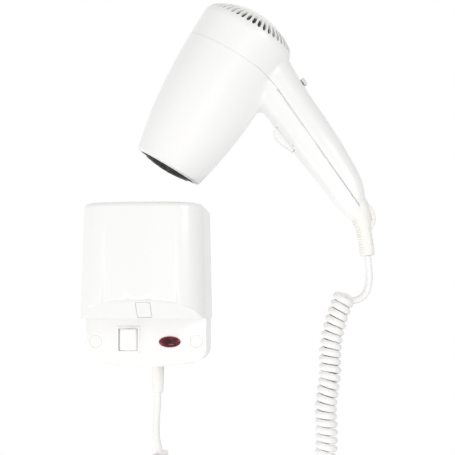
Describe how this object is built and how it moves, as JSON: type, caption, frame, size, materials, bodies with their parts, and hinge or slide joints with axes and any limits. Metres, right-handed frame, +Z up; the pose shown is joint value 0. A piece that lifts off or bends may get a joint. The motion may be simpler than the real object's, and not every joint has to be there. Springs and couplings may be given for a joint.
{
  "type": "wall-mounted hair dryer",
  "caption": "Bell-shaped hand dryer with an angled grip, a curly cord and a D-plan wall holder with a hooded cup, rocker switch and oval lamp.",
  "frame": {"origin": "on the wall face of the holder's plate, midway between its sides and 69 mm below the hood's top", "axes": "+X right as seen from the room, +Y into the wall, +Z up"},
  "size_m": [0.2558, 0.0958, 0.48],
  "materials": {
    "shell_white": "glossy warm white",
    "knob_grey": "satin light grey",
    "cup_white": "satin warm white",
    "grille_black": "satin black, heat resistant",
    "mica": "mica board",
    "heating_wire": "resistance wire",
    "steel": "bright steel",
    "copper_winding": "enamelled winding on an iron core",
    "grey_plastic": "moulded inner plastic",
    "black_plastic": "moulded switch housing",
    "board_green": "circuit board",
    "lens_red": "glossy dark red",
    "lamp_white": "moulded white",
    "brass": "bright brass",
    "flex_cream": "soft cream",
    "cord_cream": "smooth off-white sheath"
  },
  "bodies": {
    "holder": {"wall_plate": "cup_white", "hood": "shell_white", "base_housing": "shell_white", "cradle_cup": "cup_white", "cover_screws": "steel", "screw_caps": "shell_white", "rocker_bezel": "shell_white", "lamp_lens": "lens_red", "lamp_body": "lamp_white", "cord_gland": "flex_cream", "cord_anchor": "grey_plastic", "terminal_block": "lamp_white", "terminal_screws": "brass", "inner_cord": "cord_cream"},
    "dryer": {"front_shell": "shell_white", "rear_shell": "shell_white", "outlet_grille": "grille_black", "heat_shield": "steel", "heater_former": "mica", "heating_coil": "heating_wire", "thermal_cutout": "black_plastic", "fan_duct": "grey_plastic", "motor_can": "steel", "rectifier_board": "board_green", "intake_screen": "grey_plastic", "trigger_pin": "steel", "microswitch": "black_plastic", "speed_switch": "black_plastic", "strain_relief": "flex_cream", "cord_clamp": "grey_plastic", "handle_screws": "steel", "cord_tail_upper": "cord_cream", "cord_curl": "cord_cream", "cord_tail_lower": "cord_cream"},
    "fan": {"fan_impeller": "grey_plastic", "motor_shaft": "steel", "motor_armature": "copper_winding"},
    "trigger": {"trigger": "shell_white"},
    "plunger": {"switch_plunger": "black_plastic"},
    "speed_knob": {"speed_knob": "knob_grey"},
    "rocker": {"rocker": "shell_white"},
    "latch": {"hood_latch": "shell_white"}
  },
  "joints": [
    {"name": "handpiece_dock", "type": "slide", "parent": "holder", "child": "dryer", "axis": [-0.515, 0, -0.8572], "range_m": [0, 0.075]},
    {"name": "trigger_press", "type": "hinge", "parent": "dryer", "child": "trigger", "pos_m": [0.13058, -0.0485, 0.12112], "axis": [0, 1, 0], "range_deg": [0, 4], "stiffness_Nm_per_rad": 1.2, "springref_deg": -2.86},
    {"name": "plunger_press", "type": "slide", "parent": "dryer", "child": "plunger", "axis": [0.8216, 0, 0.57], "range_m": [0, 0.001]},
    {"name": "speed_slide", "type": "slide", "parent": "dryer", "child": "speed_knob", "axis": [0.57, 0, -0.8216], "range_m": [0, 0.008]},
    {"name": "fan_spin", "type": "hinge", "parent": "dryer", "child": "fan", "pos_m": [0.08412, -0.0485, 0.21249], "axis": [0.515, 0, 0.8572], "continuous": true},
    {"name": "rocker_tip", "type": "hinge", "parent": "holder", "child": "rocker", "pos_m": [-0.0157, -0.0494, -0.0489], "axis": [0, 0, 1], "range_deg": [0, 20]},
    {"name": "latch_press", "type": "hinge", "parent": "holder", "child": "latch", "pos_m": [0.0027, -0.07802, -0.02762], "axis": [-1, 0, 0], "range_deg": [0, 6], "stiffness_Nm_per_rad": 0.5, "springref_deg": -2.86}
  ],
  "couplings": [
    {"joint": "plunger_press", "follows": "trigger_press", "m_per_rad": 0.014}
  ]
}
